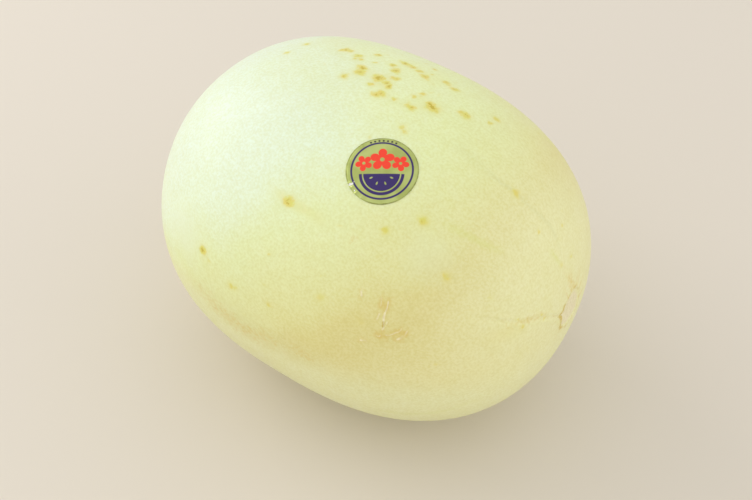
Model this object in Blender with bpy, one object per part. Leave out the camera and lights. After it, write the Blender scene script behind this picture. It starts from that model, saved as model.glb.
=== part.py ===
"""A muskmelon of the smooth, pale-skinned kind, lying on its side, with a round foil label.

Metres, +Z up. The long axis lies along X with the blossom end at +X. The origin is the middle
of the small flat spot that the fruit rests on. A bearing is an angle round the long axis in
degrees: 0 is straight up and 90 is level, on the side of -Y.
"""

import math

import bmesh
import bpy
import numpy as np
from mathutils import Vector

# The whole fruit
LENGTH = 0.160
DIAMETER = 0.1275
STEM_FULLNESS = 2.49  # 2 would be an ellipse, and more is blunter at the end
BLOSSOM_FULLNESS = 2.39
REST_SPOT_WIDTH = 0.020

# Faint lobes, one of them along the underside
LOBES = 5
LOBE_HEIGHT = 0.00025
LOBE_BEARING = 180.0

# Blossom end: a flat corky scar, a little off the long axis, towards +Y and up
SCAR_DIAMETER = 0.0165
SCAR_ASIDE = 0.0061
SCAR_UP = 0.0029
SCAR_DEPTH = 0.0005
SCAR_RIM_HEIGHT = 0.0004
SCAR_RIM_WIDTH = 0.0026

# Stem end: a hollow, and in it the round scar where the ripe fruit slipped off its stalk
STEM_HOLLOW_DEPTH = 0.0024
STEM_HOLLOW_DIAMETER = 0.034
STALK_SCAR_DIAMETER = 0.013
STALK_SCAR_HEIGHT = 0.0011
STALK_SCAR_RIM_WIDTH = 0.0036
STALK_PIT_DEPTH = 0.0012
STALK_PIT_DIAMETER = 0.005

# A fine crease that runs from the blossom scar into the side: distance from the long axis, bearing
CREASE_ROUTE = ((0.0063, 19), (0.0122, 37), (0.0195, 44), (0.0285, 50), (0.0360, 52), (0.0445, 53))
CREASE_WIDTH = 0.0020
CREASE_DEPTH = 0.0005

# Corky cracks on the near side, low towards the blossom end: place along the axis, bearing
CORKY_CRACKS = (
    ((0.0405, 56.8), (0.0407, 59.4), (0.0408, 62.0), (0.0410, 64.4), (0.0415, 67.6)),
    ((0.0382, 57.0), (0.0389, 59.7)),
    ((0.0388, 62.4), (0.0390, 65.0)),
    ((0.0471, 64.9), (0.0462, 67.2), (0.0450, 68.2), (0.0430, 69.5)),
    ((0.0492, 65.2), (0.0486, 67.5), (0.0473, 70.0)),
    ((0.0318, 57.8), (0.0323, 60.0)),
    ((0.0354, 74.5), (0.0374, 73.7)),
)
CRACK_WIDTH = 0.0014
CRACK_HEIGHT = 0.0005
CRACK_ROOT = 0.0010

# Foil label
LABEL_DIAMETER = 0.0240
LABEL_PLACE = 0.0198
LABEL_BEARING = 21.9
LABEL_GAP = 0.0003
LABEL_THICKNESS = 0.0005

# Mesh
SEGMENTS = 72
FINEST_STEP = 0.0016
FINE_REACH = 0.016
STEP_GROWTH = 1.22
WIDEST_STEP = 0.009
LABEL_RINGS = 4
LABEL_SEGMENTS = 40
SHARP_ANGLE = 35.0

HALF_LENGTH = LENGTH / 2
RADIUS = DIAMETER / 2
AXIS_HEIGHT = math.sqrt((RADIUS + LOBE_HEIGHT) ** 2 - (REST_SPOT_WIDTH / 2) ** 2)


def clear_scene():
    for old in list(bpy.data.objects):
        bpy.data.objects.remove(old, do_unlink=True)


def linear(red, green, blue):
    """Blender's linear colour from an sRGB one in 0 to 255."""
    shares = (channel / 255 for channel in (red, green, blue))
    return [s / 12.92 if s <= 0.04045 else ((s + 0.055) / 1.055) ** 2.4 for s in shares] + [1.0]


def make_material(name, colour, roughness, metallic):
    material = bpy.data.materials.new(name)
    material.use_nodes = True
    shader = material.node_tree.nodes["Principled BSDF"]
    shader.inputs["Base Color"].default_value = colour
    shader.inputs["Roughness"].default_value = roughness
    shader.inputs["Metallic"].default_value = metallic
    return material


def add_object(name, bm, material=None):
    """Put a finished bmesh in the scene as an object, shaded smooth."""
    mesh = bpy.data.meshes.new(name)
    bm.to_mesh(mesh)
    bm.free()
    mesh.shade_smooth()
    mesh.set_sharp_from_angle(angle=math.radians(SHARP_ANGLE))
    if material:
        mesh.materials.append(material)
    made = bpy.data.objects.new(name, mesh)
    bpy.context.scene.collection.objects.link(made)
    return made


def fullness(x):
    return BLOSSOM_FULLNESS if x > 0 else STEM_FULLNESS


def outline_radius(x):
    """Distance from the long axis to the smooth skin, at a place along the axis."""
    power = fullness(x)
    return RADIUS * max(0.0, 1 - abs(x / HALF_LENGTH) ** power) ** (1 / power)


def blossom_place(distance):
    """Place along the axis where the blossom half is this far from the axis."""
    return HALF_LENGTH * (1 - (distance / RADIUS) ** BLOSSOM_FULLNESS) ** (1 / BLOSSOM_FULLNESS)


def outward(point):
    """Unit normal of the smooth body at a point on it."""
    power = fullness(point.x)
    radial = Vector((0.0, point.y, point.z - AXIS_HEIGHT))
    along = math.copysign(abs(point.x / HALF_LENGTH) ** (power - 1) / HALF_LENGTH, point.x)
    across = (radial.length / RADIUS) ** (power - 1) / RADIUS
    return (Vector((along, 0.0, 0.0)) + radial.normalized() * across).normalized()


def bump(distance, reach):
    """A soft bump: 1 at no distance, 0 from its reach on."""
    return max(0.0, 1 - (distance / reach) ** 2) ** 2


def disc(distance, radius, edge):
    """1 inside a disc and 0 outside it, with a soft edge of the given width."""
    share = min(1.0, max(0.0, (radius + edge / 2 - distance) / edge))
    return share * share * (3 - 2 * share)


def blossom_relief(aside, up):
    """The scar's shallow dish and the rim round it."""
    distance = math.hypot(aside - SCAR_ASIDE, up - SCAR_UP)
    rim_radius = SCAR_DIAMETER / 2
    dish = -SCAR_DEPTH * disc(distance, rim_radius, SCAR_RIM_WIDTH / 2)
    return dish + SCAR_RIM_HEIGHT * bump(distance - rim_radius, SCAR_RIM_WIDTH)


def stem_relief(distance):
    """The hollow of the stem end, with the ring and the pit that the stalk left."""
    hollow = -STEM_HOLLOW_DEPTH * bump(distance, STEM_HOLLOW_DIAMETER / 2)
    ring = STALK_SCAR_HEIGHT * bump(distance - STALK_SCAR_DIAMETER / 2, STALK_SCAR_RIM_WIDTH / 2)
    pit = -STALK_PIT_DEPTH * bump(distance, STALK_PIT_DIAMETER / 2)
    return hollow + ring + pit


def relief(point):
    """How far the skin stands out from the smooth body at a point of that body."""
    up = point.z - AXIS_HEIGHT
    distance = math.hypot(point.y, up)
    turn = math.atan2(-point.y, up) - math.radians(LOBE_BEARING)
    lobe = LOBE_HEIGHT * math.cos(LOBES * turn) * (distance / RADIUS) ** 2
    return lobe + (blossom_relief(point.y, up) if point.x > 0 else stem_relief(distance))


def skin_point(x, bearing, lift=0.0):
    """A point on the skin, or above it by lift."""
    turn = math.radians(bearing)
    distance = outline_radius(x)
    base = Vector((x, -distance * math.sin(turn), AXIS_HEIGHT + distance * math.cos(turn)))
    return base + outward(base) * (relief(base) + lift)


def ring_places():
    """Places of the rings of points along the axis, closer together at the two ends."""
    places = []
    for sign, power in ((-1, STEM_FULLNESS), (1, BLOSSOM_FULLNESS)):
        turns = np.linspace(0.0, math.pi / 2, 4001)
        x = HALF_LENGTH * np.cos(turns) ** (2 / power)
        r = RADIUS * np.sin(turns) ** (2 / power)
        walked = np.concatenate(([0.0], np.cumsum(np.hypot(np.diff(x), np.diff(r)))))
        stops, step = [0.0], FINEST_STEP
        while stops[-1] + step < walked[-1]:
            stops.append(stops[-1] + step)
            if stops[-1] > FINE_REACH:
                step = min(WIDEST_STEP, step * STEP_GROWTH)
        stops = np.array(stops) * walked[-1] / (stops[-1] + step / 2)
        places.append(sign * np.interp(stops, walked, x))
    return np.concatenate((places[0], places[1][::-1]))


def turned_body():
    """The smooth body of revolution, from its outline spun round the long axis."""
    bm = bmesh.new()
    outline = [bm.verts.new((x, 0.0, AXIS_HEIGHT + outline_radius(x))) for x in ring_places()]
    edges = [bm.edges.new(pair) for pair in zip(outline, outline[1:])]
    bmesh.ops.spin(
        bm, geom=outline + edges, cent=(0.0, 0.0, AXIS_HEIGHT), axis=(1.0, 0.0, 0.0),
        angle=math.tau, steps=SEGMENTS,
    )
    bmesh.ops.remove_doubles(bm, verts=bm.verts, dist=1e-6)
    bmesh.ops.recalc_face_normals(bm, faces=bm.faces)
    return bm


def cut_rest_spot(bm):
    """Slice the underside off level with the ground and close it with one flat face."""
    everything = bm.verts[:] + bm.edges[:] + bm.faces[:]
    cut = bmesh.ops.bisect_plane(
        bm, geom=everything, dist=1e-7, plane_co=(0, 0, 0), plane_no=(0, 0, 1), clear_inner=True
    )
    rim = [item for item in cut["geom_cut"] if isinstance(item, bmesh.types.BMEdge)]
    bmesh.ops.contextual_create(bm, geom=rim)
    bmesh.ops.recalc_face_normals(bm, faces=bm.faces)


def sweep_on_skin(name, routes, section, taper):
    """Guide solids that follow routes over the skin.

    A section is a ring of (across, up) points. The taper gives its size at a share of the route.
    """
    bm = bmesh.new()
    for route in routes:
        rings = []
        for number, (x, bearing) in enumerate(route):
            before = skin_point(*route[max(0, number - 1)])
            after = skin_point(*route[min(len(route) - 1, number + 1)])
            here = skin_point(x, bearing)
            up = outward(here)
            across = (after - before).cross(up).normalized()
            size = taper(number / (len(route) - 1))
            rings.append([bm.verts.new(here + across * a * size + up * h * size) for a, h in section])
        for ring, following in zip(rings, rings[1:]):
            for side in range(len(section)):
                other = (side + 1) % len(section)
                bm.faces.new((ring[side], ring[other], following[other], following[side]))
        bm.faces.new(rings[0])
        bm.faces.new(rings[-1])
    bmesh.ops.recalc_face_normals(bm, faces=bm.faces)
    guide = add_object(name, bm)
    guide.hide_render = True
    guide.display_type = "WIRE"
    return guide


def add_boolean(body, guide, operation):
    modifier = body.modifiers.new(guide.name, "BOOLEAN")
    modifier.object = guide
    modifier.operation = operation
    modifier.solver = "EXACT"


def crease_guide():
    """A wedge that opens outwards and dies away on the side of the fruit."""
    half = CREASE_WIDTH / 2
    section = ((-2 * half, CREASE_DEPTH), (0.0, -CREASE_DEPTH), (2 * half, CREASE_DEPTH))
    route = [(blossom_place(distance), bearing) for distance, bearing in CREASE_ROUTE]
    return sweep_on_skin("crease_guide", [route], section, lambda share: 1.0 - 0.7 * share)


def crack_guide():
    """Low rounded ridges of cork, rooted in the skin and thinner at both ends."""
    half = CRACK_WIDTH / 2
    section = (
        (-half, -CRACK_ROOT), (-half, 0.0), (-half / 2, CRACK_HEIGHT),
        (half / 2, CRACK_HEIGHT), (half, 0.0), (half, -CRACK_ROOT),
    )
    return sweep_on_skin(
        "crack_guide", CORKY_CRACKS, section, lambda share: 0.7 + 0.3 * math.sin(math.pi * share)
    )


def make_melon():
    bm = turned_body()
    for vertex in bm.verts:
        vertex.co += outward(vertex.co) * relief(vertex.co)
    cut_rest_spot(bm)
    skin = make_material("melon_skin", linear(228, 230, 180), roughness=0.42, metallic=0.0)
    melon = add_object("melon", bm, skin)
    add_boolean(melon, crease_guide(), "DIFFERENCE")
    add_boolean(melon, crack_guide(), "UNION")


def make_fruit_label():
    """A round sticker that follows the curve of the skin just above it."""
    centre = skin_point(LABEL_PLACE, LABEL_BEARING)
    up = outward(centre)
    along = Vector((1.0, 0.0, 0.0)).cross(up).cross(up).normalized()
    across = up.cross(along)
    bm = bmesh.new()

    def on_skin(distance, turn):
        flat = centre + along * distance * math.cos(turn) + across * distance * math.sin(turn)
        bearing = math.degrees(math.atan2(-flat.y, flat.z - AXIS_HEIGHT))
        return bm.verts.new(skin_point(flat.x, bearing, LABEL_GAP))

    turns = [math.tau * number / LABEL_SEGMENTS for number in range(LABEL_SEGMENTS)]
    inner = [on_skin(0.0, 0.0)] * LABEL_SEGMENTS
    for number in range(1, LABEL_RINGS + 1):
        distance = LABEL_DIAMETER / 2 * number / LABEL_RINGS
        ring = [on_skin(distance, turn) for turn in turns]
        for side in range(LABEL_SEGMENTS):
            other = (side + 1) % LABEL_SEGMENTS
            corners = (inner[side], ring[side], ring[other], inner[other])
            bm.faces.new(dict.fromkeys(corners))
        inner = ring
    bmesh.ops.recalc_face_normals(bm, faces=bm.faces)
    if bm.faces[:][0].normal.dot(up) < 0:
        bmesh.ops.reverse_faces(bm, faces=bm.faces)
    foil = make_material("label_foil", linear(172, 182, 98), roughness=0.3, metallic=0.6)
    label = add_object("fruit_label", bm, foil)
    solid = label.modifiers.new("thickness", "SOLIDIFY")
    solid.thickness = LABEL_THICKNESS
    solid.offset = 1.0


clear_scene()
make_melon()
make_fruit_label()
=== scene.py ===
"""The looks of a smooth, pale muskmelon and its round foil sticker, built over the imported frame.

Metres, in the frame's own axes: the melon lies along X with its blossom end at +X, and +Z is up.
A bearing is an angle round the long axis in degrees: 0 is straight up and 90 is level, on the
side of -Y.
"""

import logging
import math
from dataclasses import dataclass
from enum import Enum
from functools import reduce

import bpy
import numpy as np
from mathutils import Matrix, Vector, noise


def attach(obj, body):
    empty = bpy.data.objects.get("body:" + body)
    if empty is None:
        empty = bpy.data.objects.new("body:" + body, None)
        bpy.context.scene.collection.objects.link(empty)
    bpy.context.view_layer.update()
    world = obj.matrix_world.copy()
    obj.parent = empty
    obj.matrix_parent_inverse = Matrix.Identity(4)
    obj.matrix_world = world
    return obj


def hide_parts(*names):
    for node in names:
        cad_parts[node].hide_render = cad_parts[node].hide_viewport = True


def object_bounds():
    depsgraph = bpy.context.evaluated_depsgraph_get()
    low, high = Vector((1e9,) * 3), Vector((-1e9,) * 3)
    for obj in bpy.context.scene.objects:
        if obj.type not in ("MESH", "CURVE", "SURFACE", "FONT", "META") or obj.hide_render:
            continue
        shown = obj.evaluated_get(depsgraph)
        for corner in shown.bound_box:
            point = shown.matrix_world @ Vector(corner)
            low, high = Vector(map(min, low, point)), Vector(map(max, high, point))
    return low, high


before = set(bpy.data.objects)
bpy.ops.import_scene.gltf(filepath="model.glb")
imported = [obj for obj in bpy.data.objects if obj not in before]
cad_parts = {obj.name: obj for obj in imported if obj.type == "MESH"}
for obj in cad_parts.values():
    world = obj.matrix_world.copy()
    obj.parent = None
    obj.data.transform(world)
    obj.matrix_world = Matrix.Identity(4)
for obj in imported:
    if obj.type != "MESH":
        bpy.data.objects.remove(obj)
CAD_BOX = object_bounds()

LOG = logging.getLogger("muskmelon")

Colour = tuple[float, float, float, float]
Route = tuple[tuple[float, float], ...]
Socket = bpy.types.NodeSocket


class Mask(Enum):
    """The markings on the rind, each painted as one value for every vertex."""

    RUSSET = "russet"
    STAIN_AND_SHADE = "stain"
    CORK = "cork"
    SCAR = "scar"
    RIM_AND_SHADE = "rim"
    PALE_AND_SHEEN = "pale"
    VEIN = "vein"
    LINE = "line"


class Slot(Enum):
    """The record's material slots."""

    RIND = "melon_skin"
    FOIL = "label_foil"


def srgb(red: int, green: int, blue: int) -> Colour:
    """Turn a colour of 0 to 255, as a picture shows it, into Blender's linear one.

    Args:
        red: the red channel.
        green: the green channel.
        blue: the blue channel.

    Returns:
        The linear colour, with full alpha.
    """
    shares = [channel / 255 for channel in (red, green, blue)]
    linear = [s / 12.92 if s <= 0.04045 else ((s + 0.055) / 1.055) ** 2.4 for s in shares]
    return (*linear, 1.0)


def bump(distance: np.ndarray, reach: float) -> np.ndarray:
    """Give a soft bump: 1 at no distance, and 0 from its reach on."""
    return np.clip(1 - (distance / reach) ** 2, 0, None) ** 2


def climb(values: np.ndarray, low: float, high: float) -> np.ndarray:
    """Give a smooth climb from 0 at low to 1 at high, where low may be the larger."""
    share = np.clip((values - low) / (high - low), 0, 1)
    return share * share * (3 - 2 * share)


def ripple(points: np.ndarray, length: float, seed: float) -> np.ndarray:
    """Give smooth noise between about -1 and 1 at each point.

    Args:
        points: one row for each point.
        length: the rough distance from one swell of the noise to the next.
        seed: how far the noise is shifted, so that two layers differ.

    Returns:
        One value for each point.
    """
    shift = Vector((seed, -seed, 2 * seed))
    return np.array([noise.noise(Vector(point) / length + shift) for point in points.tolist()])


def curve_through(route: np.ndarray, steps: int = 6) -> np.ndarray:
    """Lay a smooth curve through the points of a route.

    Args:
        route: the route's own points in order, one row each.
        steps: how many stretches the curve has from one point to the next.

    Returns:
        The curve's points, one row each.
    """
    ends = np.concatenate((2 * route[:1] - route[1:2], route, 2 * route[-1:] - route[-2:-1]))
    before, start, end, after = ends[:-3], ends[1:-2], ends[2:-1], ends[3:]
    share = (np.arange(steps) / steps)[:, None, None]
    curve = 0.5 * (
        2 * start + share * (end - before)
        + share**2 * (2 * before - 5 * start + 4 * end - after)
        + share**3 * (3 * start - before - 3 * end + after)
    )
    return np.concatenate((curve.transpose(1, 0, 2).reshape(-1, route.shape[1]), route[-1:]))


def off_route(points: np.ndarray, route: np.ndarray) -> tuple[np.ndarray, np.ndarray]:
    """Measure points against a route over the rind.

    Args:
        points: one row for each point.
        route: the route's own points in order, one row each.

    Returns:
        Each point's distance from the route, and the share of the route that lies before it.
    """
    lengths = np.linalg.norm(np.diff(route, axis=0), axis=1)
    walked = np.concatenate(([0.0], np.cumsum(lengths)))
    nearest, share = np.full(len(points), np.inf), np.zeros(len(points))
    for start, end, length, before in zip(route, route[1:], lengths, walked):
        along = np.clip((points - start) @ (end - start) / length**2, 0, 1)
        distance = np.linalg.norm(points - start - along[:, None] * (end - start), axis=1)
        closer = distance < nearest
        nearest[closer] = distance[closer]
        share[closer] = (before + along[closer] * length) / walked[-1]
    return nearest, share


def read_points(piece: bpy.types.Object) -> np.ndarray:
    """Read a piece's vertices as one row each.

    Args:
        piece: the object.

    Returns:
        Where the vertices are.
    """
    points = np.empty(3 * len(piece.data.vertices))
    piece.data.vertices.foreach_get("co", points)
    return points.reshape(-1, 3)


def write_points(piece: bpy.types.Object, points: np.ndarray) -> None:
    """Put a piece's vertices where the rows say."""
    piece.data.vertices.foreach_set("co", points.ravel())
    piece.data.update()


def take_up(piece: bpy.types.Object) -> None:
    """Make a piece the only selected object, and the active one.

    Args:
        piece: the object.
    """
    bpy.ops.object.select_all(action="DESELECT")
    piece.select_set(True)
    bpy.context.view_layer.objects.active = piece


def name_new(name: str) -> bpy.types.Object:
    """Name the primitive that was just added, and its mesh, and return it.

    Args:
        name: its new name.

    Returns:
        The primitive.
    """
    piece = bpy.context.active_object
    piece.name = piece.data.name = name
    return piece


def apply_modifier(piece: bpy.types.Object, kind: str, **settings: object) -> None:
    """Add a modifier to a piece and apply it.

    Args:
        piece: the object that gets it.
        kind: Blender's name for the modifier's type.
        settings: the modifier's own settings.
    """
    take_up(piece)
    modifier = piece.modifiers.new(kind.lower(), kind)
    for key, value in settings.items():
        setattr(modifier, key, value)
    bpy.ops.object.modifier_apply(modifier=modifier.name)


def new_material(
    name: str, values: dict[str, object]
) -> tuple[bpy.types.Material, bpy.types.ShaderNode]:
    """Start a material with a Principled shader.

    Args:
        name: the material's name.
        values: the shader's plain inputs, by name.

    Returns:
        The material and its shader.
    """
    material = bpy.data.materials.new(name)
    material.use_nodes = True
    shader = material.node_tree.nodes["Principled BSDF"]
    for key, value in values.items():
        shader.inputs[key].default_value = value
    return material, shader


class Bench:
    """Adds and joins the nodes of one shader tree."""

    def __init__(self, tree: bpy.types.NodeTree) -> None:
        """Start on an empty or a new tree."""
        self.tree = tree

    def add(self, kind: str, **settings: object) -> bpy.types.Node:
        """Add a node of a kind such as ShaderNodeMath, with its settings.

        Args:
            kind: the node's type.
            settings: its own settings, by name.

        Returns:
            The node.
        """
        node = self.tree.nodes.new(kind)
        for key, value in settings.items():
            setattr(node, key, value)
        return node

    def feed(self, socket: Socket, source: object) -> None:
        """Join a socket to another one, or set it to a plain value.

        Args:
            socket: the input.
            source: a socket to join it to, or a value.
        """
        if isinstance(source, bpy.types.NodeSocket):
            self.tree.links.new(source, socket)
        else:
            socket.default_value = source

    def math(self, operation: str, *sources: object) -> Socket:
        """Work out one number from up to three others.

        Args:
            operation: the Math node's operation.
            sources: sockets or plain numbers.

        Returns:
            The result's socket.
        """
        node = self.add("ShaderNodeMath", operation=operation)
        for socket, source in zip(node.inputs, sources):
            self.feed(socket, source)
        return node.outputs[0]

    def fold(self, operation: str, sources: list[Socket]) -> Socket:
        """Work through a list of values with one operation, from the first to the last."""
        return reduce(lambda total, source: self.math(operation, total, source), sources)

    def times(self, one: object, other: object) -> Socket:
        """Multiply two values."""
        return self.math("MULTIPLY", one, other)

    def spread(self, source: object, low: float, high: float, to_low=0.0, to_high=1.0) -> Socket:
        """Map the range from low to high smoothly to another, and hold it at both ends.

        Args:
            source: the value to map.
            low: where the range starts; it may be the larger.
            high: where the range ends.
            to_low: the result at low.
            to_high: the result at high.

        Returns:
            The result's socket.
        """
        node = self.add("ShaderNodeMapRange", interpolation_type="SMOOTHSTEP")
        names = ("Value", "From Min", "From Max", "To Min", "To Max")
        for name, value in zip(names, (source, low, high, to_low, to_high)):
            self.feed(node.inputs[name], value)
        return node.outputs["Result"]

    def tint(self, share: object, under: object, over: object, how: str = "MIX") -> Socket:
        """Lay one colour over another.

        Args:
            share: how much of the upper colour shows, from 0 to 1.
            under: the colour or socket below.
            over: the colour or socket on top.
            how: the Mix node's blend type.

        Returns:
            The mixed colour's socket.
        """
        node = self.add("ShaderNodeMix", data_type="RGBA", blend_type=how, clamp_factor=True)
        colours = [socket for socket in node.inputs if socket.type == "RGBA"]
        self.feed(node.inputs[0], share)
        self.feed(colours[0], under)
        self.feed(colours[1], over)
        return next(socket for socket in node.outputs if socket.type == "RGBA")

    def toned(self, colour: Socket, value: Socket) -> Socket:
        """Deepen a colour where a value is under 1, its blue most, and make it paler above 1.

        Args:
            colour: the colour to vary.
            value: a number near 1.

        Returns:
            The varied colour.
        """
        node = self.add("ShaderNodeCombineColor")
        for socket, power in zip(node.inputs, (0.6, 0.8, 2.2)):
            self.feed(socket, self.math("POWER", value, power))
        return self.tint(1.0, colour, node.outputs[0], "MULTIPLY")

    def ramp(self, share: Socket, tones: tuple[tuple[float, Colour], ...]) -> Socket:
        """Read a colour off a row of tones.

        Args:
            share: where to read.
            tones: each tone's place, from 0 to 1, and its colour.

        Returns:
            The colour's socket.
        """
        node = self.add("ShaderNodeValToRGB")
        steps = node.color_ramp.elements
        while len(steps) < len(tones):
            steps.new(1.0)
        for step, (place, colour) in zip(steps, tones):
            step.position, step.color = place, colour
        self.feed(node.inputs[0], share)
        return node.outputs["Color"]

    def mask(self, mask: Mask) -> Socket:
        """Read a marking that was painted on the vertices."""
        return self.add("ShaderNodeAttribute", attribute_name=mask.value).outputs["Fac"]

    def group(self, tree: bpy.types.NodeTree, **values: object) -> Socket:
        """Place a node group, feed the inputs named, and return its first output.

        Args:
            tree: the node group.
            values: what its inputs get, by name in small letters.

        Returns:
            The first output.
        """
        node = self.add("ShaderNodeGroup", node_tree=tree)
        for name, value in values.items():
            self.feed(node.inputs[name.replace("_", " ").capitalize()], value)
        return node.outputs[0]


class Surface(Bench):
    """The bench of one material, with its Object coordinates and the mottling that all share."""

    def __init__(
        self, name: str, grain: bpy.types.NodeTree, values: dict[str, object] | None = None
    ) -> None:
        """Start a new material.

        Args:
            name: the material's name.
            grain: the node group of the mottling.
            values: the shader's plain inputs, by name.
        """
        self.material, self.shader = new_material(name, values or {})
        super().__init__(self.material.node_tree)
        self.grain = grain
        self.place = self.add("ShaderNodeTexCoord").outputs["Object"]

    def noise(self, size: float, detail: float = 2.0, low: float = 0.0, high: float = 1.0) -> Socket:
        """Place the mottling, with patches of a size and values between low and high.

        Args:
            size: the rough size of a patch.
            detail: how fine the smallest layer is.
            low: the lowest value.
            high: the highest value.

        Returns:
            The value's socket.
        """
        return self.group(
            self.grain, place=self.place, size=size, detail=detail, low=low, high=high
        )

    def bend(self, height: Socket, strength: float, distance: float) -> None:
        """Bend the shader's normal with a height, for relief too fine for the mesh.

        Args:
            height: the height's socket.
            strength: how much of it counts.
            distance: how far a height of 1 stands out.
        """
        node = self.add("ShaderNodeBump")
        self.feed(node.inputs["Height"], height)
        node.inputs["Strength"].default_value = strength
        node.inputs["Distance"].default_value = distance
        self.feed(self.shader.inputs["Normal"], node.outputs["Normal"])


def new_group(name: str, inputs: dict[str, float | str]) -> tuple[bpy.types.NodeTree, Bench, dict]:
    """Start a shader node group that puts out one value.

    Args:
        name: the group's name.
        inputs: each input's name, with its usual number, or "vector" for a vector.

    Returns:
        The tree, a bench for it, and its input sockets by name.
    """
    tree = bpy.data.node_groups.new(name, "ShaderNodeTree")
    for key, usual in inputs.items():
        kind = "NodeSocketVector" if usual == "vector" else "NodeSocketFloat"
        socket = tree.interface.new_socket(key, in_out="INPUT", socket_type=kind)
        if usual != "vector":
            socket.default_value = usual
    tree.interface.new_socket("Value", in_out="OUTPUT", socket_type="NodeSocketFloat")
    bench = Bench(tree)
    sockets = {socket.name: socket for socket in bench.add("NodeGroupInput").outputs}
    return tree, bench, sockets


def grain_group() -> bpy.types.NodeTree:
    """Build the mottling that the rind, the cork and the foil share: noise of a given size.

    Returns:
        The node group, with the inputs Place, Size, Detail, Low and High.
    """
    tree, bench, given = new_group(
        "grain", {"Place": "vector", "Size": 0.004, "Detail": 2.0, "Low": 0.0, "High": 1.0}
    )
    cloud = bench.add("ShaderNodeTexNoise")
    bench.feed(cloud.inputs["Vector"], given["Place"])
    bench.feed(cloud.inputs["Scale"], bench.math("DIVIDE", 1.0, given["Size"]))
    bench.feed(cloud.inputs["Detail"], given["Detail"])
    value = bench.spread(cloud.outputs[0], 0.3, 0.7, given["Low"], given["High"])
    bench.feed(bench.add("NodeGroupOutput").inputs[0], value)
    return tree


def fleck_group() -> bpy.types.NodeTree:
    """Build small round flecks, scattered at random and each of its own strength.

    Returns:
        The node group, with the inputs Place, Size, Share and Softness.
    """
    tree, bench, given = new_group(
        "flecks", {"Place": "vector", "Size": 0.006, "Share": 0.3, "Softness": 0.25}
    )
    cells = bench.add("ShaderNodeTexVoronoi")
    bench.feed(cells.inputs["Vector"], given["Place"])
    bench.feed(cells.inputs["Scale"], bench.math("DIVIDE", 1.0, given["Size"]))
    pick = bench.add("ShaderNodeSeparateColor")
    bench.feed(pick.inputs[0], cells.outputs["Color"])
    near = bench.spread(cells.outputs["Distance"], given["Softness"], 0.0)
    chosen = bench.math("LESS_THAN", pick.outputs[0], given["Share"])
    value = bench.times(bench.times(near, chosen), pick.outputs[1])
    bench.feed(bench.add("NodeGroupOutput").inputs[0], value)
    return tree


@dataclass(frozen=True)
class SoftBox:
    """One large soft light, placed as the picture sees it: to the right, up and nearer."""

    name: str
    right: float
    up: float
    near: float
    power: float
    width: float = 0.9
    colour: tuple[float, float, float] = (1.0, 1.0, 1.0)


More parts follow.
